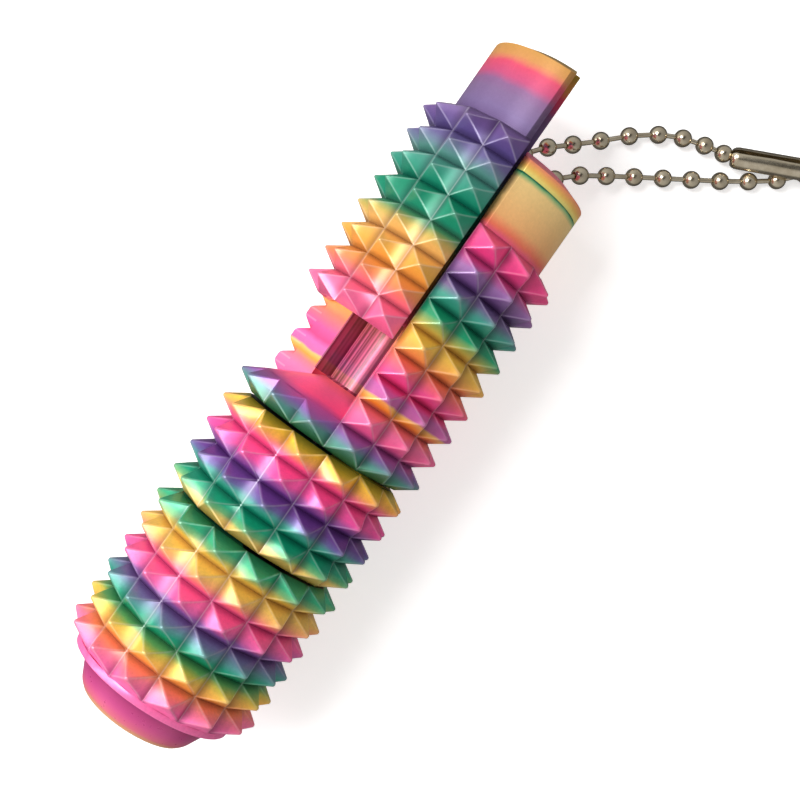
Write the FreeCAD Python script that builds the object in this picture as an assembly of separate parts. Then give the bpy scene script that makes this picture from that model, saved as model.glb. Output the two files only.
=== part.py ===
# Spiky twist-and-slide puzzle on a ball-chain key ring, lying on its side.
#
# Frame: millimetres, +X along the long axis towards the chain end, +Z up.
# The origin is on the surface it lies on, under the middle of the puzzle
# (the chain is left out of that middle). All lengths along the axis are first
# given as "s", counted from the lower end face of the top section, and are
# shifted to X at the end.
import FreeCAD, Part
import math
import os

os.makedirs("parts", exist_ok=True)
V = FreeCAD.Vector

# ---------------------------------------------------------------- dimensions
COLUMNS = 14            # pyramids round the body
PITCH = 3.48            # height of one ring of pyramids
R_VALLEY = 10.9         # corners of the pyramids' bases
R_TIP = 13.5            # tips of the pyramids
RINGS_TOP = 9           # rings on the top section
RINGS_MIDDLE = 4
RINGS_BASE = 6
RINGS_SLIDE = 8         # rings on the sliding segment
TWIST_GAP = 0.36        # clear gap between two sections that twist

R_NECK = 10.2           # smooth neck at the chain end
NECK_LEN = 10.36        # from the last ring to the end face
CAP_THICK = 2.65        # the separate end cap
CHAMFER_AX = 1.10       # chamfer round the end face
CHAMFER_RAD = 2.60

FLANGE_THICK = 0.90     # smooth disc under the base section
KNOB_GAP = 0.25         # running gap between flange and end knob
KNOB_LEN = 4.10
R_KNOB_BIG = 9.40
R_KNOB_SMALL = 7.75
R_KNOB_END = 7.00
KNOB_ROUND = 0.75

R_PIN = 2.5             # shaft of the end knob, pressed into the top section
PIN_CLEAR = 0.10        # running clearance in the twisting sections
PIN_END = 13.5          # s of the shaft's end

PHASE_TOP = -1.6        # angle of a valley line, degrees about +X from +Z
PHASE_MIDDLE = 3.35
PHASE_BASE = -3.4

WEDGE = 120.0           # the slot for the sliding segment
WEDGE_END = -1.6        # its two walls are at WEDGE_END and WEDGE_END - WEDGE
R_RAIL = 3.7            # round rail left standing in the slot
R_GROOVE = 6.7          # undercut round the rail
GROOVE_ARC = 30.0       # how far the undercut runs on behind each wall
FLOOR_SLOPE = 0.515     # the slot's floor rises towards the rail
R_FLOOR = 10.5

SLIDE_CLEAR = 0.55      # segment to slot wall
TONGUE_OVER = 0.22      # the inner tongue reaches past the slot wall
CAP_RELIEF = 0.55       # and the cap is cut back this much for it
R_CLAW_IN = 4.0
R_CLAW_OUT = 6.4
CLAW_ARC = 24.0         # claws behind each slot wall
CLAW_TOP = 22.7         # s of the claws' top when the segment is home
SEAT_CLEAR = 0.20       # under the segment when it is home
SLIDE_OUT = 10.95       # how far out the segment stands in this pose
EDGE_CUT = 0.8          # chamfer along the neck's edges at the slot

BALL = 2.4              # ball chain
R_HOLE = 1.5            # the two holes for it
CONNECTOR_R = 1.5
CONNECTOR_LEN = 10.0

# ---------------------------------------------------------------- stations
S_TOP = RINGS_TOP * PITCH                       # last ring of the top section
S_END = S_TOP + NECK_LEN                        # end face of the cap
S_CAP = S_END - CAP_THICK                       # joint line of the cap
S_SEAT = (RINGS_TOP - RINGS_SLIDE) * PITCH      # slot floor at its rim
S_MID1 = -TWIST_GAP
S_MID0 = S_MID1 - RINGS_MIDDLE * PITCH
S_BASE1 = S_MID0 - TWIST_GAP
S_BASE0 = S_BASE1 - RINGS_BASE * PITCH
S_FLANGE0 = S_BASE0 - FLANGE_THICK
S_KNOB1 = S_FLANGE0 - KNOB_GAP
S_KNOB0 = S_KNOB1 - KNOB_LEN
X_MID = (S_END + SLIDE_OUT + S_KNOB0) / 2       # becomes X = 0


def tip_height(phase):
    """How far the lowest tips of a section are below the axis."""
    step = 360.0 / COLUMNS
    best = 0.0
    for k in range(COLUMNS):
        a = math.radians(phase + (k + 0.5) * step)
        best = max(best, -R_TIP * math.cos(a))
    return best


Z_AXIS = max(tip_height(p) for p in (PHASE_TOP, PHASE_MIDDLE, PHASE_BASE))


# ---------------------------------------------------------------- helpers
# Shapes are built about the axis Z' = s, then turned so that s becomes +X.
# In the building frame an angle phi (degrees about +X from +Z) is at
# (cos phi, sin phi); the turn takes building x to +Z and building y to -Y.
def polar(r, phi, s):
    a = math.radians(phi)
    return V(r * math.cos(a), r * math.sin(a), s)


def place(shape):
    m = FreeCAD.Matrix(0, 0, 1, -X_MID,
                       0, -1, 0, 0,
                       1, 0, 0, Z_AXIS,
                       0, 0, 0, 1)
    return shape.transformed(m)


def face_of(points):
    return Part.Face(Part.makePolygon(list(points) + [points[0]]))


def spiky(s0, rings, phase):
    """A closed solid with rings x COLUMNS four-sided pyramids."""
    step = 360.0 / COLUMNS
    faces = []
    for i in range(rings):
        a, b = s0 + i * PITCH, s0 + (i + 1) * PITCH
        for k in range(COLUMNS):
            p, q = phase + k * step, phase + (k + 1) * step
            c = [polar(R_VALLEY, p, a), polar(R_VALLEY, q, a),
                 polar(R_VALLEY, q, b), polar(R_VALLEY, p, b)]
            tip = polar(R_TIP, (p + q) / 2, (a + b) / 2)
            for j in range(4):
                faces.append(face_of([c[j], c[(j + 1) % 4], tip]))
    for s in (s0, s0 + rings * PITCH):
        faces.append(face_of([polar(R_VALLEY, phase + k * step, s) for k in range(COLUMNS)]))
    shell = Part.makeShell(faces)
    shell.sewShape()
    solid = Part.Solid(shell)
    if solid.Volume < 0:
        solid.reverse()
    return solid


def cyl(r, s0, s1):
    return Part.makeCylinder(r, s1 - s0, V(0, 0, s0))


def turned(profile, phi0=0.0, arc=360.0):
    """A solid of revolution of (r, s) points, from phi0 over arc degrees."""
    f = face_of([V(r, 0, s) for r, s in profile])
    f.rotate(V(0, 0, 0), V(0, 0, 1), phi0)
    return f.revolve(V(0, 0, 0), V(0, 0, 1), arc)


def wedge_prism(inset, s0, s1, reach=40.0):
    """The slot's sector with both walls moved in by inset (out if negative)."""
    mid = WEDGE_END - WEDGE / 2
    half = math.radians(WEDGE / 2)
    tip = polar(inset / math.sin(half), mid, s0) if inset >= 0 else \
        polar(-inset / math.sin(half), mid + 180, s0)
    ends = []
    for sign in (-1, 1):
        a = math.radians(mid + sign * WEDGE / 2)
        ends.append(V(tip.x + reach * math.cos(a), tip.y + reach * math.sin(a), s0))
    far = polar(2.2 * reach, mid, s0)
    return face_of([tip, ends[0], far, ends[1]]).extrude(V(0, 0, s1 - s0))


def floor_at(r):
    return S_SEAT + FLOOR_SLOPE * (R_FLOOR - r)


def neck(s1):
    """The neck's outside, down into the last ring, with the end chamfer."""
    return turned([(0, S_TOP - 0.5), (R_NECK, S_TOP - 0.5), (R_NECK, S_END - CHAMFER_AX),
                   (R_NECK - CHAMFER_RAD, S_END), (0, S_END)])


def edge_cut(phi, side, inset, s0, s1):
    """A bar that takes a 45 degree chamfer off the neck's edge at a slot wall.

    phi is the wall's angle, side is +1 if the solid is on the +phi side."""
    a = math.radians(phi)
    along = V(math.cos(a), math.sin(a), 0)
    out = V(-math.sin(a), math.cos(a), 0) * side      # into the solid
    corner = along * math.sqrt(R_NECK ** 2 - inset ** 2) + out * inset
    p = corner - along * EDGE_CUT
    q = corner + out * EDGE_CUT
    # a triangle a little larger than the cut, so that no faces coincide
    d = (p - q)
    d.normalize()
    n = along - out
    n.normalize()
    pts = [p + d * 1.5, q - d * 1.5, q - d * 1.5 + n * 2.5, p + d * 1.5 + n * 2.5]
    return face_of([V(t.x, t.y, s0) for t in pts]).extrude(V(0, 0, s1 - s0))


WALL1, WALL2 = WEDGE_END - WEDGE, WEDGE_END       # the slot is between them

# ---------------------------------------------------------------- top section
lower_ring = spiky(0.0, RINGS_TOP - RINGS_SLIDE, PHASE_TOP)
upper = spiky(S_SEAT, RINGS_SLIDE, PHASE_TOP)
neck_low = cyl(R_NECK, S_TOP - 0.5, S_CAP)
slot = turned([(R_RAIL, S_SEAT - 2), (20, S_SEAT - 2), (20, S_CAP + 2), (R_RAIL, S_CAP + 2)],
              WALL1, WEDGE)
upper = upper.fuse(neck_low).cut(slot)
slot_floor = turned([(R_RAIL - 0.5, S_SEAT - 0.5), (R_FLOOR, S_SEAT - 0.5), (R_FLOOR, S_SEAT),
                     (R_RAIL - 0.5, floor_at(R_RAIL - 0.5))], WALL1 - 4, WEDGE + 8)
top_section = upper.fuse([lower_ring, slot_floor])
for start in (WALL1 - GROOVE_ARC, WALL2 - 1.0):
    groove = turned([(R_RAIL, floor_at(R_RAIL)), (R_GROOVE, floor_at(R_GROOVE)),
                     (R_GROOVE, S_CAP + 2), (R_RAIL, S_CAP + 2)], start, GROOVE_ARC + 1.0)
    top_section = top_section.cut(groove)
top_section = top_section.cut(edge_cut(WALL2, 1, 0.0, S_TOP, S_CAP + 1))
top_section = top_section.cut(edge_cut(WALL1, -1, 0.0, S_TOP, S_CAP + 1))
top_section = top_section.cut(cyl(R_PIN, -1, PIN_END))

# the passage for the chain: two holes joined under the cap
HOLE_1 = (185.0, 6.05)      # angle and radius of the hole for the upper strand
HOLE_2 = (136.0, 6.15)      # and for the lower strand
h1, h2 = polar(HOLE_1[1], HOLE_1[0], 0), polar(HOLE_2[1], HOLE_2[0], 0)
mid_h = (h1 + h2) * 0.5
half_gap = (h2 - h1).Length / 2
BIGHT_DEPTH = 1.2           # straight part of the passage below the cap


def bight_pipe(radius, top):
    """A U of round section down one hole, round, and up the other."""
    low = S_CAP - BIGHT_DEPTH
    path = Part.Wire([
        Part.LineSegment(V(h1.x, h1.y, top), V(h1.x, h1.y, low)).toShape(),
        Part.Arc(V(h1.x, h1.y, low), V(mid_h.x, mid_h.y, low - half_gap),
                 V(h2.x, h2.y, low)).toShape(),
        Part.LineSegment(V(h2.x, h2.y, low), V(h2.x, h2.y, top)).toShape()])
    ring = Part.Wire(Part.makeCircle(radius, V(h1.x, h1.y, top), V(0, 0, -1)))
    return path.makePipeShell([ring], True, True), path.Length


passage, _ = bight_pipe(R_HOLE, S_CAP + 1.0)
top_section = top_section.cut(passage)

# two blind holes for the cap's pegs
PEG_R, PEG_LEN, PEG_AT = 1.2, 3.0, 8.3
PEG_ANGLES = (45.0, 215.0)
for a in PEG_ANGLES:
    p = polar(PEG_AT, a, S_CAP - PEG_LEN - 0.2)
    top_section = top_section.cut(Part.makeCylinder(PEG_R, PEG_LEN + 1.0, p))

# ---------------------------------------------------------------- top cap
cap = turned([(0, S_CAP), (R_NECK, S_CAP), (R_NECK, S_END - CHAMFER_AX),
              (R_NECK - CHAMFER_RAD, S_END), (0, S_END)])
rail_end = cyl(R_RAIL, S_CAP, S_END)
cap_slot = turned([(R_RAIL, S_CAP - 1), (20, S_CAP - 1), (20, S_END + 1), (R_RAIL, S_END + 1)],
                  WALL1, WEDGE)
relief = cyl(R_GROOVE, S_CAP - 1, S_END + 1).cut(cyl(R_RAIL, S_CAP - 2, S_END + 2)) \
    .common(wedge_prism(-CAP_RELIEF, S_CAP - 1, S_END + 1))
cap = cap.cut(cap_slot).cut(relief)
cap = cap.cut(edge_cut(WALL2, 1, 0.0, S_CAP - 1, S_END + 1))
cap = cap.cut(edge_cut(WALL1, -1, 0.0, S_CAP - 1, S_END + 1))
for h in (h1, h2):
    cap = cap.cut(Part.makeCylinder(R_HOLE, CAP_THICK + 2, V(h.x, h.y, S_CAP - 1)))
for a in PEG_ANGLES:
    cap = cap.fuse(Part.makeCylinder(PEG_R, PEG_LEN + 0.5, polar(PEG_AT, a, S_CAP - PEG_LEN)))
top_cap = cap

# ---------------------------------------------------------------- sliding segment
outer = spiky(S_SEAT, RINGS_SLIDE, PHASE_TOP).fuse(neck(S_END))
outer = outer.common(wedge_prism(SLIDE_CLEAR, 0, S_END + 5))
outer = outer.cut(edge_cut(WALL2, -1, SLIDE_CLEAR, S_TOP, S_END + 1))
outer = outer.cut(edge_cut(WALL1, 1, SLIDE_CLEAR, S_TOP, S_END + 1))
tongue = cyl(R_CLAW_OUT, S_SEAT, S_END).common(wedge_prism(-TONGUE_OVER, 0, S_END + 5))
claws = turned([(0.5, S_SEAT), (R_CLAW_OUT, S_SEAT), (R_CLAW_OUT, CLAW_TOP), (0.5, CLAW_TOP)],
               WALL1 - CLAW_ARC, WEDGE + 2 * CLAW_ARC)
segment = outer.fuse([tongue, claws])
segment = segment.cut(cyl(R_CLAW_IN, -5, S_END + 5))
under = turned([(0, -5), (20, -5), (20, S_SEAT + SEAT_CLEAR), (R_FLOOR, S_SEAT + SEAT_CLEAR),
                (0, floor_at(0) + SEAT_CLEAR)])
segment = segment.cut(under)
segment.translate(V(0, 0, SLIDE_OUT))
slide_segment = segment

# ---------------------------------------------------------------- middle and base
middle_section = spiky(S_MID0, RINGS_MIDDLE, PHASE_MIDDLE).cut(
    cyl(R_PIN + PIN_CLEAR, S_MID0 - 1, S_MID1 + 1))
base_section = spiky(S_BASE0, RINGS_BASE, PHASE_BASE).fuse(
    cyl(R_VALLEY, S_FLANGE0, S_BASE0)).cut(
    cyl(R_PIN + PIN_CLEAR, S_FLANGE0 - 1, S_BASE1 + 1))

# ---------------------------------------------------------------- end knob with its shaft
slant = (R_KNOB_BIG - R_KNOB_SMALL) / (KNOB_LEN - KNOB_ROUND)
end_knob = turned([(0, S_KNOB0), (R_KNOB_END, S_KNOB0), (R_KNOB_SMALL, S_KNOB0 + KNOB_ROUND),
                   (R_KNOB_BIG, S_KNOB1), (R_PIN, S_KNOB1), (R_PIN, PIN_END), (0, PIN_END)])

# ---------------------------------------------------------------- chain
# Route points in the part's own frame, in millimetres.
Y1, Z1 = -h1.y, Z_AXIS + h1.x
Y2, Z2 = -h2.y, Z_AXIS + h2.x
X_FACE = S_END - X_MID
CHAIN_UPPER = [(X_FACE, Y1, Z1), (39.5, Y1 - 1.45, 6.0), (43.0, -4.4, 3.2), (47.1, -8.5, 1.5),
               (51.4, -12.7, 1.2), (54.5, -17.9, 1.2), (55.65, -24.06, 1.5)]
CHAIN_LOWER = [(X_FACE, Y2, Z2), (39.0, Y2 - 1.9, 6.9), (42.2, -10.0, 3.8), (45.6, -14.6, 1.6),
               (49.2, -20.05, 1.2), (53.9, -27.3, 1.2), (58.44, -33.08, 1.2), (63.7, -35.9, 1.2),
               (69.1, -37.2, 1.2), (74.59, -39.44, 1.2), (77.52, -44.14, 1.2), (77.09, -49.65, 1.2),
               (73.47, -53.84, 1.2), (68.07, -55.05, 1.2), (63.0, -52.81, 1.2), (60.26, -48.0, 1.2),
               (60.6, -42.8, 1.4), (61.5, -37.65, 2.75), (59.55, -33.10, 3.95)]


def tube(points, d, note):
    """A tube of straight runs and tangent arcs through the route."""
    p = [V(*q) for q in points]
    edges, at, least = [], p[0], 1e9
    for i in range(1, len(p) - 1):
        a, b = p[i - 1] - p[i], p[i + 1] - p[i]
        short = min(a.Length, b.Length)
        a.normalize(); b.normalize()
        turn = math.pi - a.getAngle(b)
        cut = 0.45 * short
        radius = cut / math.tan(turn / 2)
        least = min(least, radius)
        print(note, i, "run", round(short, 2), "turn", round(math.degrees(turn), 1),
              "radius", round(radius, 2))
        t0, t1 = p[i] + a * cut, p[i] + b * cut
        to_mid = a + b
        to_mid.normalize()
        centre = p[i] + to_mid * (radius / math.cos(turn / 2))
        mid = centre - to_mid * radius
        edges.append(Part.LineSegment(at, t0).toShape())
        edges.append(Part.Arc(t0, mid, t1).toShape())
        at = t1
    edges.append(Part.LineSegment(at, p[-1]).toShape())
    wire = Part.Wire(edges)
    start = p[1] - p[0]
    start.normalize()
    disc = Part.Wire(Part.makeCircle(d / 2, p[0], start))
    solid = wire.makePipeShell([disc], True, True)
    want = math.pi * d * d / 4 * wire.Length
    print(note, "length", round(wire.Length, 2), "least radius", round(least, 2),
          "volume share", round(solid.Volume / want, 4), "valid", solid.isValid())
    return solid


# the first and last runs start square to the end face
chain_upper = tube(CHAIN_UPPER, BALL, "upper strand")
chain_lower = tube(CHAIN_LOWER, BALL, "lower strand")

# the bight inside the passage: down one hole, round, and up the other
chain_bight, bight_length = bight_pipe(BALL / 2, S_END - 0.6)
print("bight length", round(bight_length, 2), "half gap", round(half_gap, 2), "valid", chain_bight.isValid())

# the connector: a sleeve with a slot along it, over both ends of the chain
c0, c1 = V(*CHAIN_UPPER[-1]), V(*CHAIN_LOWER[-1])
print("connector length", round((c1 - c0).Length, 2))
axis_c = c1 - c0
axis_c.normalize()
connector = Part.makeCylinder(CONNECTOR_R, (c1 - c0).Length, c0, axis_c)

# ---------------------------------------------------------------- write
made = {
    "top_section": place(top_section),
    "top_cap": place(top_cap),
    "slide_segment": place(slide_segment),
    "middle_section": place(middle_section),
    "base_section": place(base_section),
    "end_knob": place(end_knob),
    "chain_bight": place(chain_bight),
    "chain_upper": chain_upper,
    "chain_lower": chain_lower,
    "chain_connector": connector,
}
for name, shape in made.items():
    if shape.ShapeType != "Solid":
        solids = shape.Solids
        shape = solids[0] if len(solids) == 1 else shape
    b = shape.BoundBox
    print(name, shape.ShapeType, "solids", len(shape.Solids), "valid", shape.isValid(),
          "volume", round(shape.Volume, 1),
          "box", [round(v, 3) for v in (b.XMin, b.XMax, b.YMin, b.YMax, b.ZMin, b.ZMax)])
    shape.exportStep("parts/%s.step" % name)
print("Z_AXIS", round(Z_AXIS, 4), "X_FACE", round(X_FACE, 4), "X_MID", round(X_MID, 4),
      "hole 1", round(Y1, 3), round(Z1, 3), "hole 2", round(Y2, 3), round(Z2, 3))
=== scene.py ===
import math

import bmesh
import bpy
from mathutils import Matrix, Vector


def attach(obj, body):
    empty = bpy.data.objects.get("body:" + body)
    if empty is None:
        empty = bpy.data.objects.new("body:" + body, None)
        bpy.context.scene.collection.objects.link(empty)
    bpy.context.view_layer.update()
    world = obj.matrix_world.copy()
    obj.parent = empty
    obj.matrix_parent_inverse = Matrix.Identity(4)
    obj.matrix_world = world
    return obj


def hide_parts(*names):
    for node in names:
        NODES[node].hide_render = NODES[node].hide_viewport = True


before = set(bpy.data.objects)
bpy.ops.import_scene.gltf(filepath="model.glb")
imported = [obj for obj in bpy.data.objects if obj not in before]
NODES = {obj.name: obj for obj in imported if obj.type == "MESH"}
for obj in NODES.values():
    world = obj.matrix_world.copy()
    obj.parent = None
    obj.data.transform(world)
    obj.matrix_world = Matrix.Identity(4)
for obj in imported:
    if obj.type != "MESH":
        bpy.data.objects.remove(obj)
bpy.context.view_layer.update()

scene = bpy.context.scene
MM = 0.001


# ------------------------------------------------------------------ camera
# Nearly straight down on the puzzle, tipped by six degrees, and rolled so
# that the long axis runs from lower left to upper right.
tilt = math.radians(5.9)
back = Vector((0, math.sin(tilt), math.cos(tilt)))
across = Vector((0, -math.cos(tilt), math.sin(tilt)))
roll = math.atan2(0.820, 0.572)
along = Vector((1, 0, 0))
right = along * math.cos(roll) + across * math.sin(roll)
up = along * math.sin(roll) - across * math.cos(roll)
cam_data = bpy.data.cameras.new("camera")
cam = bpy.data.objects.new("camera", cam_data)
scene.collection.objects.link(cam)
place = Matrix((
    (right.x, up.x, back.x, 0),
    (right.y, up.y, back.y, 0),
    (right.z, up.z, back.z, 0),
    (0, 0, 0, 1)))
place.translation = Vector((3.506 * MM, 0, 13.3165 * MM)) + across * 4.945 * MM + back * 151.41 * MM
cam.matrix_world = place
cam_data.sensor_width = 36.0
cam_data.lens = 55.53
cam_data.clip_start = 0.01
cam_data.clip_end = 5.0
scene.camera = cam


# ------------------------------------------------------------------ colours
def lin(c):
    c = c / 255.0
    return c / 12.92 if c <= 0.04045 else ((c + 0.055) / 1.055) ** 2.4


def rgb(r, g, b, gain=1.0, vivid=1.0):
    """A display colour as a linear one, optionally lighter and more vivid."""
    v = [lin(r), lin(g), lin(b)]
    grey = 0.2126 * v[0] + 0.7152 * v[1] + 0.0722 * v[2]
    v = [max(0.003, min(0.95, (grey + (x - grey) * vivid) * gain)) for x in v]
    return (v[0], v[1], v[2], 1.0)


class Graph:
    """A short way to write a material's nodes."""

    def __init__(self, name):
        self.mat = bpy.data.materials.new(name)
        self.mat.use_nodes = True
        self.tree = self.mat.node_tree
        self.tree.nodes.clear()
        self.out = self.tree.nodes.new("ShaderNodeOutputMaterial")
        self.bsdf = self.tree.nodes.new("ShaderNodeBsdfPrincipled")
        self.link(self.bsdf.outputs[0], self.out.inputs[0])

    def link(self, a, b):
        self.tree.links.new(a, b)

    def node(self, kind, **values):
        n = self.tree.nodes.new(kind)
        for k, v in values.items():
            setattr(n, k, v)
        return n

    def math(self, op, a, b=None, c=None):
        n = self.node("ShaderNodeMath", operation=op)
        for i, v in enumerate((a, b, c)):
            if v is None:
                continue
            if isinstance(v, (int, float)):
                n.inputs[i].default_value = v
            else:
                self.link(v, n.inputs[i])
        return n.outputs[0]

    def noise(self, where, scale, detail=2.0, rough=0.5):
        n = self.node("ShaderNodeTexNoise")
        n.inputs["Scale"].default_value = scale
        n.inputs["Detail"].default_value = detail
        n.inputs["Roughness"].default_value = rough
        self.link(where, n.inputs["Vector"])
        return n.outputs[0]


X_SHIFT = 5.93          # stations along the axis start at the first ring's foot
GAIN = 1.22
VIVID = 1.22
Z_AXIS = 13.3165


def silk(name, stops, rough=0.33, wander=0.35, speckle=0.10, gain=GAIN, vivid=VIVID, spikes=None,
         slot=False, gap_shadow_ends=(), relief=0.22):
    """Glossy rainbow filament: bands of colour along the print's axis, with painted shade and painted highlights on
    the pyramids, painted shadow at the joints, and painted shade and reflections on the rail.
    """
    g = Graph(name)
    coord = g.node("ShaderNodeTexCoord").outputs["Object"]
    axes = g.node("ShaderNodeSeparateXYZ")
    g.link(coord, axes.inputs[0])
    drift = g.noise(coord, 330.0, 2.0)
    x = g.math("ADD", axes.outputs[0], g.math("MULTIPLY", g.math("SUBTRACT", drift, 0.5), wander * 2 * MM))
    first, last = stops[0][0], stops[-1][0]
    part = g.math("DIVIDE", g.math("SUBTRACT", x, (first - X_SHIFT) * MM), (last - first) * MM)
    ramp = g.node("ShaderNodeValToRGB")
    ramp.color_ramp.interpolation = "LINEAR"
    bar = ramp.color_ramp.elements
    while len(bar) < len(stops):
        bar.new(0.5)
    for e, (s, colour) in zip(bar, stops):
        e.position = (s - first) / (last - first)
    for e, (s, colour) in zip(bar, stops):
        warm = colour[0] > 200 and colour[1] > 140          # the yellows keep their softer tone
        e.color = rgb(*colour, gain=gain, vivid=1.0 + (vivid - 1.0) * (0.35 if warm else 1.0))
    g.link(part, ramp.inputs[0])
    grain = g.noise(coord, 2600.0, 3.0, 0.6)
    shade = g.math("ADD", g.math("MULTIPLY", g.math("SUBTRACT", grain, 0.5), speckle * 2), 1.0)
    mix = g.node("ShaderNodeMix", data_type="RGBA", blend_type="MULTIPLY")
    mix.inputs[0].default_value = 1.0
    g.link(ramp.outputs[0], mix.inputs[6])
    grey = g.node("ShaderNodeCombineColor")
    for i in range(3):
        g.link(shade, grey.inputs[i])
    g.link(grey.outputs[0], mix.inputs[7])
    colour = mix.outputs[2]
    z = g.math("SUBTRACT", axes.outputs[2], Z_AXIS * MM)
    r = g.math("SQRT", g.math("ADD", g.math("MULTIPLY", axes.outputs[1], axes.outputs[1]),
                              g.math("MULTIPLY", z, z)))

    def ease(value, low, high, start, end):
        m = g.node("ShaderNodeMapRange", interpolation_type="SMOOTHSTEP")
        g.link(value, m.inputs[0])
        for i, v in enumerate((low, high, start, end)):
            m.inputs[i + 1].default_value = v
        return m.outputs[0]

    if spikes:
        # painted shade deeper in the grooves between the pyramids, painted highlights along their ridges, axial seams
        # and tips
        foot, rings, phase, free_low, free_high = spikes
        turn = g.math("ARCTAN2", g.math("MULTIPLY", axes.outputs[1], -1.0), z)
        column = g.math("DIVIDE", g.math("SUBTRACT", turn, math.radians(phase)), 2 * math.pi / 14)
        from_side = g.math("MULTIPLY", g.math("PINGPONG", column, 0.5), 2.0)
        row = g.math("DIVIDE", g.math("SUBTRACT", axes.outputs[0], (foot - X_SHIFT) * MM), 3.48 * MM)
        from_ring = g.math("MULTIPLY", g.math("PINGPONG", row, 0.5), 2.0)
        zone = g.math("MULTIPLY", g.math("GREATER_THAN", r, 10.5 * MM),
                      g.math("MULTIPLY", g.math("GREATER_THAN", row, 0.0), g.math("LESS_THAN", row, float(rings))))
        if slot:
            # not over the open slot, where the first ring's upper side lies bare
            bare = g.math("MULTIPLY", g.math("GREATER_THAN", axes.outputs[1], 0.3 * MM),
                          g.math("MULTIPLY", g.math("GREATER_THAN", row, 0.5), g.math("LESS_THAN", row, 1.03)))
            zone = g.math("MULTIPLY", zone, g.math("SUBTRACT", 1.0, bare))
        ring_open = from_ring
        if free_low:
            ring_open = g.math("MAXIMUM", ring_open, g.math("LESS_THAN", row, 0.5))
        if free_high:
            ring_open = g.math("MAXIMUM", ring_open, g.math("GREATER_THAN", row, rings - 0.5))
        rise = g.math("MINIMUM", from_side, ring_open)
        dark = g.math("MAXIMUM", ease(rise, 0.0, 0.40, 0.55, 0.0), ease(ring_open, 0.0, 0.11, 0.70, 0.0))
        # painted shade: the grooves multiplied towards a dark purple
        deep = g.node("ShaderNodeMix", data_type="RGBA", blend_type="MULTIPLY")
        g.link(g.math("MULTIPLY", zone, dark), deep.inputs[0])
        g.link(colour, deep.inputs[6])
        deep.inputs[7].default_value = (0.24, 0.15, 0.25, 1)
        # painted highlights: thin light lines on the ridges and the axial seams, and lighter tips, screened over the
        # colour
        ridge_highlight = g.math("MULTIPLY", ease(g.math("ABSOLUTE", g.math("SUBTRACT", from_side, from_ring)), 0.02, 0.11, 0.13, 0.0),
                       ease(from_side, 0.03, 0.3, 0.0, 1.0))
        seam_highlight = g.math("MULTIPLY", ease(from_side, 0.012, 0.05, 0.15, 0.0), g.math("LESS_THAN", r, 11.3 * MM))
        tip_highlight = ease(g.math("MINIMUM", from_side, from_ring), 0.7, 1.0, 0.0, 0.12)
        light = g.math("MULTIPLY", zone, g.math("MAXIMUM", ridge_highlight, g.math("MAXIMUM", seam_highlight, tip_highlight)))
        highlight_mix = g.node("ShaderNodeMix", data_type="RGBA", blend_type="SCREEN")
        g.link(light, highlight_mix.inputs[0])
        g.link(deep.outputs[2], highlight_mix.inputs[6])
        highlight_mix.inputs[7].default_value = (0.80, 0.76, 0.80, 1)
        colour = highlight_mix.outputs[2]
    for end in gap_shadow_ends:
        # painted shadow: the facing ends at a twisting joint, and the walls of the slot, are painted near black where
        # the gap lies in shade
        near = g.math("LESS_THAN", g.math("ABSOLUTE", g.math("SUBTRACT", axes.outputs[0], (end - X_SHIFT) * MM)), 0.012 * MM)
        gap_shadow = g.node("ShaderNodeMix", data_type="RGBA")
        g.link(near, gap_shadow.inputs[0])
        g.link(colour, gap_shadow.inputs[6])
        gap_shadow.inputs[7].default_value = (0.006, 0.006, 0.006, 1)
        colour = gap_shadow.outputs[2]
    if slot:
        # the rail and its undercut: deep magenta, darkened as painted shade under the slider, with bright streaks
        # along the rail as painted reflections
        rail = g.math("MULTIPLY", g.math("LESS_THAN", r, 6.9 * MM),
                      g.math("GREATER_THAN", axes.outputs[0], (6.7 - X_SHIFT) * MM))
        turn = g.math("ARCTAN2", axes.outputs[1], z)
        round_it = g.node("ShaderNodeCombineXYZ")
        g.link(turn, round_it.inputs[0])
        # painted reflections: bright streaks round the rail
        reflection_streak = g.noise(round_it.outputs[0], 6.0, 1.0)
        lit = g.node("ShaderNodeMapRange", interpolation_type="SMOOTHSTEP")
        g.link(reflection_streak, lit.inputs[0])
        for i, v in enumerate((0.42, 0.60, 0.0, 1.0)):
            lit.inputs[i + 1].default_value = v
        tone = g.node("ShaderNodeMix", data_type="RGBA")
        g.link(lit.outputs[0], tone.inputs[0])
        tone.inputs[6].default_value = (0.10, 0.008, 0.035, 1)
        tone.inputs[7].default_value = (0.52, 0.085, 0.19, 1)
        rail_shade_mix = g.node("ShaderNodeMix", data_type="RGBA")
        g.link(g.math("MULTIPLY", rail, 0.88), rail_shade_mix.inputs[0])
        g.link(colour, rail_shade_mix.inputs[6])
        g.link(tone.outputs[2], rail_shade_mix.inputs[7])
        colour = rail_shade_mix.outputs[2]
    g.link(colour, g.bsdf.inputs["Base Color"])
    g.bsdf.inputs["Metallic"].default_value = 0.22
    roughness = g.math("ADD", g.math("MULTIPLY", g.noise(coord, 1400.0, 2.0), 0.14), rough - 0.07)
    g.link(roughness, g.bsdf.inputs["Roughness"])
    g.bsdf.inputs["Coat Weight"].default_value = 0.22
    g.bsdf.inputs["Coat Roughness"].default_value = 0.22
    # printed layers, a fifth of a millimetre apart
    layer = g.math("SINE", g.math("MULTIPLY", axes.outputs[0], 2 * math.pi / (0.2 * MM)))
    height = g.math("ADD", g.math("MULTIPLY", layer, 0.35), g.math("MULTIPLY", grain, 1.2))
    bump = g.node("ShaderNodeBump")
    bump.inputs["Strength"].default_value = relief
    bump.inputs["Distance"].default_value = 0.02 * MM
    g.link(height, bump.inputs["Height"])
    g.link(bump.outputs[0], g.bsdf.inputs["Normal"])
    return g.mat


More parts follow.
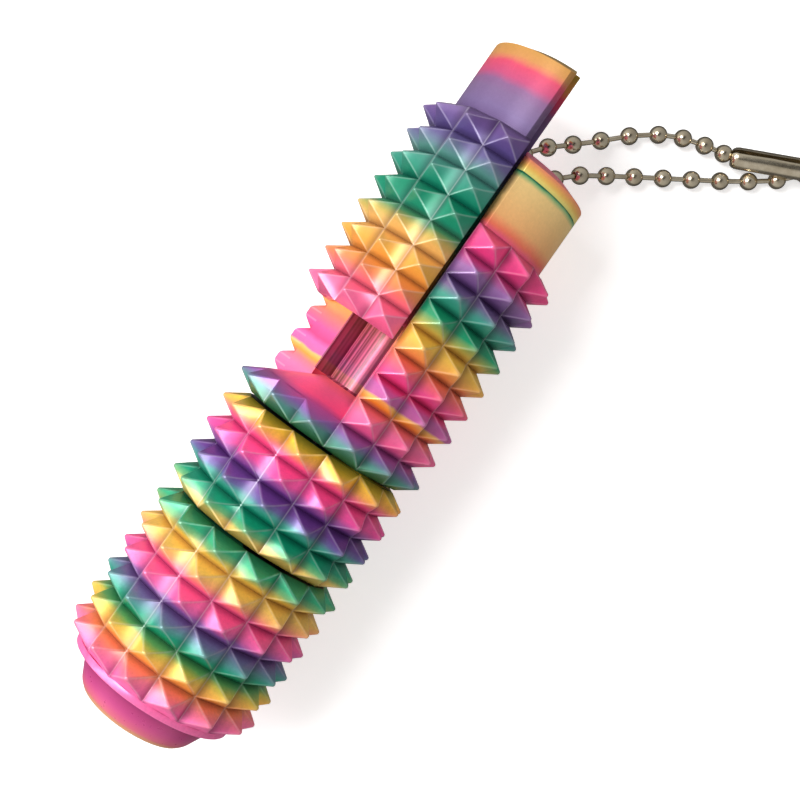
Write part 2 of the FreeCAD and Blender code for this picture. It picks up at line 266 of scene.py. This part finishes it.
TOP_STOPS = [
    (0.2, (70, 125, 92)), (1.4, (83, 125, 120)), (2.4, (117, 88, 140)), (3.4, (150, 80, 135)),
    (4.2, (216, 95, 136)), (5.6, (240, 112, 147)), (6.7, (236, 113, 120)), (7.5, (236, 140, 80)),
    (8.15, (236, 170, 100)), (8.3, (170, 95, 140)), (9.4, (176, 96, 150)), (10.2, (208, 70, 115)),
    (11.4, (222, 88, 135)), (13.6, (225, 118, 98)), (14.6, (232, 150, 88)),
    (16.2, (236, 180, 88)), (17.4, (220, 175, 84)), (18.4, (150, 160, 100)), (19.4, (60, 140, 105)),
    (20.6, (36, 128, 98)), (22.2, (80, 142, 130)), (23.4, (104, 92, 128)), (24.4, (84, 60, 106)),
    (26.2, (138, 102, 150)), (27.4, (178, 82, 132)), (28.6, (218, 80, 130)), (31.2, (212, 90, 130)),
    (32.2, (222, 120, 100)), (33.6, (236, 172, 118)), (38.2, (226, 196, 136)), (38.75, (120, 165, 120)), (38.95, (24, 96, 72)),
]
CAP_STOPS = [
    (38.8, (205, 205, 130)), (39.3, (226, 205, 122)), (39.8, (238, 178, 98)), (40.4, (240, 146, 104)),
    (41.0, (240, 118, 130)), (41.8, (238, 112, 150)),
]
SLIDE_STOPS = [
    (14.4, (240, 116, 160)), (17.2, (240, 120, 155)), (18.6, (240, 128, 135)), (19.6, (238, 140, 104)),
    (20.8, (235, 155, 84)), (22.8, (236, 172, 80)), (24.6, (236, 180, 104)), (25.8, (232, 186, 112)),
    (26.6, (200, 178, 108)), (27.6, (100, 150, 108)), (28.8, (60, 146, 118)), (30.6, (38, 136, 106)),
    (32.0, (42, 136, 108)), (33.4, (70, 146, 126)), (35.6, (96, 150, 138)), (36.6, (112, 130, 148)),
    (37.6, (104, 96, 140)), (39.2, (92, 78, 132)), (40.8, (104, 80, 134)), (42.0, (104, 82, 128)),
    (43.6, (122, 104, 146)), (45.6, (128, 104, 142)), (46.7, (136, 98, 138)), (47.7, (190, 84, 122)),
    (49.2, (212, 84, 110)), (49.7, (210, 124, 104)), (50.3, (208, 146, 88)), (51.7, (202, 150, 80)),
    (52.2, (176, 146, 74)),
]
MIDDLE_STOPS = [
    (-14.3, (226, 185, 100)), (-13.3, (214, 184, 108)), (-12.7, (110, 156, 112)), (-11.9, (50, 138, 108)),
    (-10.5, (44, 132, 106)), (-9.8, (80, 140, 130)), (-9.1, (92, 90, 132)), (-8.4, (92, 60, 122)),
    (-7.0, (98, 58, 122)), (-6.3, (146, 82, 138)), (-5.6, (206, 84, 140)), (-4.2, (230, 92, 142)),
    (-3.3, (222, 92, 132)), (-2.8, (226, 122, 120)), (-2.1, (228, 156, 84)), (-1.2, (230, 178, 72)),
    (-0.4, (222, 180, 76)),
]
BASE_STOPS = [
    (-36.4, (238, 116, 160)), (-34.6, (240, 112, 155)), (-33.4, (238, 118, 135)), (-32.5, (238, 132, 110)),
    (-31.6, (238, 152, 84)), (-30.6, (228, 174, 86)), (-29.8, (186, 172, 96)), (-29.2, (110, 152, 98)),
    (-28.4, (46, 132, 92)), (-27.5, (54, 134, 110)), (-26.8, (86, 134, 132)), (-26.0, (98, 110, 134)),
    (-25.1, (104, 78, 128)), (-24.4, (122, 80, 136)), (-23.7, (186, 92, 142)), (-22.9, (232, 100, 144)),
    (-21.4, (238, 100, 140)), (-20.8, (236, 122, 124)), (-20.1, (238, 156, 106)), (-19.2, (238, 180, 98)),
    (-18.2, (232, 182, 92)), (-17.5, (196, 172, 100)), (-16.8, (120, 156, 110)), (-16.0, (70, 150, 114)),
    (-14.6, (78, 154, 122)),
]
# the last stops darken towards the flange: deep magenta filament, with painted shade under the flange
KNOB_STOPS = [
    (-40.9, (255, 205, 150)), (-40.35, (248, 172, 132)), (-39.9, (232, 118, 140)), (-39.0, (220, 92, 146)),
    (-38.4, (206, 78, 140)), (-37.4, (184, 62, 122)), (-36.7, (150, 44, 104)), (-36.6, (60, 14, 40)),
]
SILK = {
    "top_section": silk("silk_top", TOP_STOPS, wander=0.3, spikes=(0.0, 9, -1.6, True, False), slot=True,
                        gap_shadow_ends=(0.0,)),
    "top_cap": silk("silk_cap", CAP_STOPS, wander=0.12),
    "slide_segment": silk("silk_slide", SLIDE_STOPS, gain=0.95, vivid=1.16, spikes=(14.43, 8, -1.6, True, False)),
    "middle_section": silk("silk_middle", MIDDLE_STOPS, speckle=0.2,
                           spikes=(-14.28, 4, 3.35, True, True), gap_shadow_ends=(-14.28, -0.36)),
    "base_section": silk("silk_base", BASE_STOPS, speckle=0.2,
                         spikes=(-35.52, 6, -3.4, True, True), gap_shadow_ends=(-14.64,)),
    "end_knob": silk("silk_knob", KNOB_STOPS, rough=0.3, wander=0.1, speckle=0.03, gain=0.84, vivid=1.1, relief=0.05),
}


def steel(name):
    """Nickel-plated steel of a ball chain, slightly worn."""
    g = Graph(name)
    coord = g.node("ShaderNodeTexCoord").outputs["Object"]
    tone = g.noise(coord, 700.0, 3.0)
    ramp = g.node("ShaderNodeValToRGB")
    ramp.color_ramp.elements[0].position = 0.3
    ramp.color_ramp.elements[0].color = (0.56, 0.48, 0.35, 1)
    ramp.color_ramp.elements[1].position = 0.7
    ramp.color_ramp.elements[1].color = (0.74, 0.66, 0.51, 1)
    g.link(tone, ramp.inputs[0])
    g.link(ramp.outputs[0], g.bsdf.inputs["Base Color"])
    g.bsdf.inputs["Metallic"].default_value = 1.0
    scuff = g.noise(coord, 5200.0, 3.0)
    g.link(g.math("ADD", g.math("MULTIPLY", scuff, 0.12), 0.17), g.bsdf.inputs["Roughness"])
    bump = g.node("ShaderNodeBump")
    bump.inputs["Strength"].default_value = 0.12
    bump.inputs["Distance"].default_value = 0.01 * MM
    g.link(scuff, bump.inputs["Height"])
    g.link(bump.outputs[0], g.bsdf.inputs["Normal"])
    return g.mat


STEEL = steel("chain_steel")


# ------------------------------------------------------------------ printed pieces
def finished(bm, name, mat):
    bmesh.ops.recalc_face_normals(bm, faces=bm.faces)
    mesh = bpy.data.meshes.new(name)
    bm.to_mesh(mesh)
    bm.free()
    mesh.materials.append(mat)
    obj = bpy.data.objects.new(name, mesh)
    scene.collection.objects.link(obj)
    return obj


def flank(f):
    """Whether a face is the side of one of the pyramids."""
    c = f.calc_center_median()
    out = Vector((0, c.y, c.z - Z_AXIS * MM))
    if out.length < 10.5 * MM:
        return False
    return 0.35 < f.normal.dot(out.normalized()) < 0.85


def printed(node, name, body, width=0.26):
    """The CAD node's own surface with its sharp lines rounded a little."""
    bm = bmesh.new()
    bm.from_mesh(NODES[node].data)
    bmesh.ops.remove_doubles(bm, verts=bm.verts, dist=2e-6)
    bmesh.ops.dissolve_degenerate(bm, dist=1e-6, edges=bm.edges)
    bmesh.ops.dissolve_limit(bm, angle_limit=math.radians(0.4), verts=bm.verts, edges=bm.edges,
                             delimit={"NORMAL"})
    for share, wide, steps in ((True, width, 3), (False, 0.06, 2)):
        bm.normal_update()
        keen = [e for e in bm.edges if len(e.link_faces) == 2 and e.is_convex
                and e.calc_face_angle(0.0) > math.radians(25)
                and (all(flank(f) for f in e.link_faces) if share else not any(flank(f) for f in e.link_faces)
                     or e.calc_face_angle(0.0) > math.radians(38) and not all(flank(f) for f in e.link_faces))]
        bmesh.ops.bevel(bm, geom=keen, offset=wide * MM, offset_type="OFFSET", segments=steps, profile=0.5,
                        affect="EDGES", clamp_overlap=True, loop_slide=True)
    bmesh.ops.remove_doubles(bm, verts=bm.verts, dist=1e-6)
    for f in bm.faces:
        f.smooth = True
    bm.normal_update()
    for e in bm.edges:
        if len(e.link_faces) == 2 and e.calc_face_angle(0.0) > math.radians(48):
            e.smooth = False
    obj = finished(bm, name, SILK[node])
    even = obj.modifiers.new("even_normals", "WEIGHTED_NORMAL")
    even.keep_sharp = True
    even.weight = 60
    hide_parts(node)
    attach(obj, body)
    return obj


printed("top_section", "top_body", "top")
printed("top_cap", "end_cap", "top")
printed("slide_segment", "slider", "segment")
printed("middle_section", "middle_rings", "middle")
printed("base_section", "base_rings", "base")


# ------------------------------------------------------------------ ball chain
UPPER = [(35.75, 0.527, 7.29), (39.5, -0.923, 6.0), (43.0, -4.4, 3.2), (47.1, -8.5, 1.5),
         (51.4, -12.7, 1.2), (54.5, -17.9, 1.2), (55.65, -24.06, 1.5)]
LOWER = [(35.75, -4.272, 8.893), (39.0, -6.172, 6.9), (42.2, -10.0, 3.8), (45.6, -14.6, 1.6),
         (49.2, -20.05, 1.2), (53.9, -27.3, 1.2), (58.44, -33.08, 1.2), (63.7, -35.9, 1.2),
         (69.1, -37.2, 1.2), (74.59, -39.44, 1.2), (77.52, -44.14, 1.2), (77.09, -49.65, 1.2),
         (73.47, -53.84, 1.2), (68.07, -55.05, 1.2), (63.0, -52.81, 1.2), (60.26, -48.0, 1.2),
         (60.6, -42.8, 1.4), (61.5, -37.65, 2.75), (59.55, -33.10, 3.95)]
# the bend inside the end: down one hole, round, and up the other
H1, H2 = Vector((0, 0.527, 7.290)), Vector((0, -4.272, 8.893))
gap = (H2 - H1).length / 2
side = (H2 - H1).normalized()
leg = gap * math.tan(math.radians(22.5))
TURN = 31.90
BIGHT = [Vector((x, 0, 0)) + H1 + side * t for x, t in (
    (35.15, 0), (TURN + leg, 0), (TURN - leg, 0), (TURN - gap, gap - leg), (TURN - gap, gap + leg),
    (TURN - leg, 2 * gap), (TURN + leg, 2 * gap), (35.15, 2 * gap))]
D_BALL = 2.4
R_LINK = 0.33


def route(name, points):
    """The points of a smooth line through a route, in metres."""
    data = bpy.data.curves.new(name + "_route", "CURVE")
    data.dimensions = "3D"
    data.resolution_u = 24
    spline = data.splines.new("NURBS")
    spline.points.add(len(points) - 1)
    for p, q in zip(spline.points, points):
        p.co = (q[0] * MM, q[1] * MM, q[2] * MM, 1.0)
    spline.order_u = 3
    spline.use_endpoint_u = True
    holder = bpy.data.objects.new(name + "_route", data)
    scene.collection.objects.link(holder)
    bpy.context.view_layer.update()
    graph = bpy.context.evaluated_depsgraph_get()
    line = bpy.data.meshes.new_from_object(holder.evaluated_get(graph))
    found = [v.co.copy() for v in line.vertices]
    bpy.data.meshes.remove(line)
    bpy.data.objects.remove(holder)
    bpy.data.curves.remove(data)
    return found


def at(line, far):
    """The point and direction at a distance along a line."""
    for a, b in zip(line, line[1:]):
        step = (b - a).length
        if far <= step or b is line[-1]:
            return a + (b - a) * (far / step if step else 0.0), (b - a).normalized()
        far -= step


def length(line):
    return sum((b - a).length for a, b in zip(line, line[1:]))


def spun(bm, profile, origin, direction, sides):
    """A closed solid of revolution of (distance along, radius) in millimetres."""
    turn = direction.to_track_quat("X", "Z").to_matrix()
    rings = []
    for x, r in profile:
        if r < 1e-6:
            rings.append([bm.verts.new(origin + turn @ Vector((x * MM, 0, 0)))])
            continue
        rings.append([bm.verts.new(origin + turn @ (Vector((
            x, r * math.cos(2 * math.pi * k / sides), r * math.sin(2 * math.pi * k / sides))) * MM))
            for k in range(sides)])
    for a, b in zip(rings, rings[1:]):
        for k in range(sides):
            j = (k + 1) % sides
            if len(a) == 1:
                bm.faces.new((a[0], b[k], b[j]))
            elif len(b) == 1:
                bm.faces.new((a[k], b[0], a[j]))
            else:
                bm.faces.new((a[k], b[k], b[j], a[j]))


def ball_profile():
    """A hollow ball with a small dished hole at each pole."""
    r = D_BALL / 2
    hole = 0.50
    edge = math.asin(hole / r)
    rim = r * math.cos(edge)
    shape = [(-rim + 0.30, 0.0), (-rim + 0.30, 0.36), (-rim + 0.05, hole - 0.05)]
    n = 18
    for k in range(n + 1):
        a = edge + (math.pi - 2 * edge) * k / n
        shape.append((-r * math.cos(a), r * math.sin(a)))
    return shape + [(rim - 0.05, hole - 0.05), (rim - 0.30, 0.36), (rim - 0.30, 0.0)]


BALL = ball_profile()


def beads(name, line, stations, body, node, tail=None):
    """Balls at the stations with a short pin between each two of them."""
    bm = bmesh.new()
    for s in stations:
        p, d = at(line, s * MM)
        spun(bm, BALL, p, d, 32)
    whole = length(line) / MM
    stops = list(stations)
    ends = [(a, b) for a, b in zip(stops, stops[1:])]
    if stops[0] > 1.2:
        ends.insert(0, (-0.55, stops[0]))
    if whole - stops[-1] > 1.2:
        ends.append((stops[-1], whole + 0.55))
    for a, b in ends:
        pa, pb = at(line, max(0.0, a + 0.55) * MM)[0], at(line, min(whole, b - 0.55) * MM)[0]
        d = (pb - pa).normalized()
        reach = (pb - pa).length / MM
        spun(bm, [(0, 0), (0, R_LINK), (reach, R_LINK), (reach, 0)], pa, d, 14)
    for f in bm.faces:
        f.smooth = True
    bm.normal_update()
    for e in bm.edges:
        if len(e.link_faces) == 2 and e.calc_face_angle(0.0) > math.radians(50):
            e.smooth = False
    obj = finished(bm, name, STEEL)
    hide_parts(node)
    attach(obj, body)
    return obj


def eased(corners):
    """A turned profile of (along, radius, rounding) with its corners rounded."""
    line = []
    for i, (x, r, cut) in enumerate(corners):
        here = Vector((x, r))
        if not cut:
            line.append((x, r))
            continue
        a, b = (Vector(corners[j][:2]) - here for j in (i - 1, i + 1))
        a, b = here + a.normalized() * cut, here + b.normalized() * cut
        for k in range(6):
            t = k / 5
            p = a * (1 - t) ** 2 + here * 2 * t * (1 - t) + b * t ** 2
            line.append((p.x, p.y))
    return line


# the turned knob on its long shaft
KNOB = eased([(-46.70, 0, 0), (-46.70, 7.00, 0.30), (-45.95, 7.75, 0.30), (-42.60, 9.40, 0.10), (-42.60, 2.5, 0),
              (7.57, 2.5, 0.2), (7.57, 0, 0)])
bm = bmesh.new()
spun(bm, KNOB, Vector((0, 0, Z_AXIS * MM)), Vector((1, 0, 0)), 128)
for f in bm.faces:
    f.smooth = True
bm.normal_update()
for e in bm.edges:
    if len(e.link_faces) == 2 and e.calc_face_angle(0.0) > math.radians(40):
        e.smooth = False
knob = finished(bm, "knob", SILK["end_knob"])
even = knob.modifiers.new("even_normals", "WEIGHTED_NORMAL")
even.keep_sharp = True
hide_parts("end_knob")
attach(knob, "top")

upper_line, lower_line, bight_line = route("upper", UPPER), route("lower", LOWER), route("bight", BIGHT)

upper_at = [3.15]
for step in (4.1, 4.1, 4.2, 4.05, 4.0, 3.4, 3.1, 2.8):
    upper_at.append(upper_at[-1] + step)
lower_at = [2.9]
for step in (4.6, 4.5, 4.3, 4.1) + (3.95,) * 20:
    if lower_at[-1] + step < length(lower_line) / MM - 0.3:
        lower_at.append(lower_at[-1] + step)
upper = beads("ball_chain_upper", upper_line, upper_at, "top", "chain_upper")
lower = beads("ball_chain_lower", lower_line, lower_at, "top", "chain_lower")
bight_at = [1.85 + 3.58 * k for k in range(4)]
beads("ball_chain_bight", bight_line, bight_at, "top", "chain_bight")


def sleeve(name, start, end, node):
    """The connector: a thin sheet rolled into a sleeve, open along one side."""
    axis = end - start
    long = axis.length / MM
    x = axis.normalized()
    z = Vector((0, 0, 1)) - x * x.z
    z.normalize()
    y = z.cross(x)
    wall = 0.22
    outer = []
    n = 6
    for k in range(n + 1):          # rounded in at both ends
        a = math.pi / 2 * k / n
        outer.append((1.0 - 1.0 * math.cos(a), 0.92 + 0.55 * math.sin(a)))
    outer += [(2.4, 1.47), (long / 2, 1.47), (long - 2.4, 1.47)]
    for k in range(n, -1, -1):
        a = math.pi / 2 * k / n
        outer.append((long - 1.0 + 1.0 * math.cos(a), 0.92 + 0.55 * math.sin(a)))
    bm = bmesh.new()
    sides = 44
    grids = []
    for inset in (0.0, wall):
        grid = []
        for s, r in outer:
            # the slot is wider where a ball drops in, near each end
            near = min(s, long - s)
            half = 0.26 + 0.22 * max(0.0, 1 - abs(near - 1.7) / 1.1)
            r = max(0.2, r - inset)
            open_to = min(1.2, half / r)
            row = []
            for j in range(sides + 1):
                a = math.pi / 2 - 0.5 + open_to + (2 * math.pi - 2 * open_to) * j / sides
                row.append(bm.verts.new(start + (x * s + y * (r * math.cos(a)) + z * (r * math.sin(a))) * MM))
            grid.append(row)
        grids.append(grid)
    out, inn = grids
    rows = len(outer)
    for i in range(rows - 1):
        for j in range(sides):
            bm.faces.new((out[i][j], out[i + 1][j], out[i + 1][j + 1], out[i][j + 1]))
            bm.faces.new((inn[i][j], inn[i][j + 1], inn[i + 1][j + 1], inn[i + 1][j]))
        for j in (0, sides):
            bm.faces.new((out[i][j], inn[i][j], inn[i + 1][j], out[i + 1][j]))
    for i in (0, rows - 1):
        for j in range(sides):
            bm.faces.new((out[i][j], out[i][j + 1], inn[i][j + 1], inn[i][j]))
    for f in bm.faces:
        f.smooth = True
    bm.normal_update()
    for e in bm.edges:
        if len(e.link_faces) == 2 and e.calc_face_angle(0.0) > math.radians(40):
            e.smooth = False
    obj = finished(bm, name, STEEL)
    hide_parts(node)
    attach(obj, "top")
    return obj


connector = sleeve("chain_sleeve", Vector(UPPER[-1]) * MM, Vector(LOWER[-1]) * MM, "chain_connector")


# ------------------------------------------------------------------ floor and light
floor_mesh = bpy.data.meshes.new("floor")
w = 1.5
floor_mesh.from_pydata([(-w, -w, 0), (w, -w, 0), (w, w, 0), (-w, w, 0)], [], [(0, 1, 2, 3)])
floor = bpy.data.objects.new("floor", floor_mesh)
scene.collection.objects.link(floor)
g = Graph("floor")
coord = g.node("ShaderNodeTexCoord").outputs["Object"]
soft = g.noise(coord, 30.0, 2.0)
ramp = g.node("ShaderNodeValToRGB")
ramp.color_ramp.elements[0].color = (0.90, 0.90, 0.90, 1)
ramp.color_ramp.elements[1].color = (0.93, 0.93, 0.93, 1)
g.link(soft, ramp.inputs[0])
g.link(ramp.outputs[0], g.bsdf.inputs["Base Color"])
g.bsdf.inputs["Roughness"].default_value = 0.9
g.bsdf.inputs["Specular IOR Level"].default_value = 0.1
g.bsdf.inputs["Emission Color"].default_value = (1, 1, 1, 1)     # a table lit from below
g.bsdf.inputs["Emission Strength"].default_value = 0.49
floor_mesh.materials.append(g.mat)
floor.visible_glossy = False           # the pieces mirror the dim room below instead


def softbox(name, direction, distance, wide, high, power, colour=(1, 1, 1), aim=(0, 0, 0.01)):
    data = bpy.data.lights.new(name, "AREA")
    data.shape = "RECTANGLE"
    data.size, data.size_y = wide, high
    data.energy = power
    data.color = colour
    obj = bpy.data.objects.new(name, data)
    scene.collection.objects.link(obj)
    d = Vector(direction).normalized()
    obj.location = Vector(aim) + d * distance
    obj.rotation_mode = "QUATERNION"
    obj.rotation_quaternion = (-d).to_track_quat("-Z", "Y")
    return obj


left = -right
softbox("key", left * 0.50 + up * 0.30 + back * 1.0, 0.60, 0.22, 0.22, 2.3)
softbox("side", left * 1.0 + up * 0.15 + back * 0.65, 0.60, 0.25, 0.4, 1.7)

# a dark card over the camera, for the plated chain to mirror
card_mesh = bpy.data.meshes.new("card")
card_mesh.from_pydata([(-0.09, -0.05, 0), (0.09, -0.05, 0), (0.09, 0.05, 0), (-0.09, 0.05, 0)],
                      [], [(0, 3, 2, 1)])
card = bpy.data.objects.new("card", card_mesh)
scene.collection.objects.link(card)
card.location = (0.045, -0.01, 0.22)
g = Graph("card")
g.bsdf.inputs["Base Color"].default_value = (0.012, 0.012, 0.012, 1)
g.bsdf.inputs["Roughness"].default_value = 0.9
card_mesh.materials.append(g.mat)
card.visible_camera = False
card.visible_diffuse = False
card.visible_shadow = False

# bright walls on the left, dimmer ones on the right, and a dark ceiling
world = bpy.data.worlds.new("studio")
scene.world = world
world.use_nodes = True
tree = world.node_tree
background = tree.nodes["Background"]
background.inputs[1].default_value = 1.0
where = tree.nodes.new("ShaderNodeTexCoord").outputs["Generated"]
parts = tree.nodes.new("ShaderNodeSeparateXYZ")
tree.links.new(where, parts.inputs[0])
height = tree.nodes.new("ShaderNodeMapRange")
height.interpolation_type = "SMOOTHSTEP"
tree.links.new(parts.outputs[2], height.inputs[0])
for i, v in enumerate((0.66, 0.98, 0.60, 0.42)):
    height.inputs[i + 1].default_value = v
toward = tree.nodes.new("ShaderNodeVectorMath")
toward.operation = "DOT_PRODUCT"
tree.links.new(where, toward.inputs[0])
toward.inputs[1].default_value = tuple(left)
lean = tree.nodes.new("ShaderNodeMapRange")
tree.links.new(toward.outputs["Value"], lean.inputs[0])
for i, v in enumerate((-1.0, 1.0, 0.55, 1.25)):
    lean.inputs[i + 1].default_value = v
low = tree.nodes.new("ShaderNodeMapRange")
low.interpolation_type = "SMOOTHSTEP"
tree.links.new(parts.outputs[2], low.inputs[0])
for i, v in enumerate((-0.35, 0.0, 0.22, 1.0)):
    low.inputs[i + 1].default_value = v
most = tree.nodes.new("ShaderNodeMath")
most.operation = "MULTIPLY"
tree.links.new(height.outputs[0], most.inputs[0])
tree.links.new(low.outputs[0], most.inputs[1])
times = tree.nodes.new("ShaderNodeMath")
times.operation = "MULTIPLY"
tree.links.new(most.outputs[0], times.inputs[0])
tree.links.new(lean.outputs[0], times.inputs[1])
warm = tree.nodes.new("ShaderNodeMix")
warm.data_type = "RGBA"
warm.blend_type = "MULTIPLY"
warm.inputs[0].default_value = 1.0
warm.inputs[7].default_value = (1.0, 0.985, 0.96, 1)
tree.links.new(times.outputs[0], warm.inputs[6])
tree.links.new(warm.outputs[2], background.inputs[0])

scene.view_settings.view_transform = "Standard"
scene.view_settings.look = "None"
scene.view_settings.exposure = 0.0
scene.view_settings.gamma = 1.0
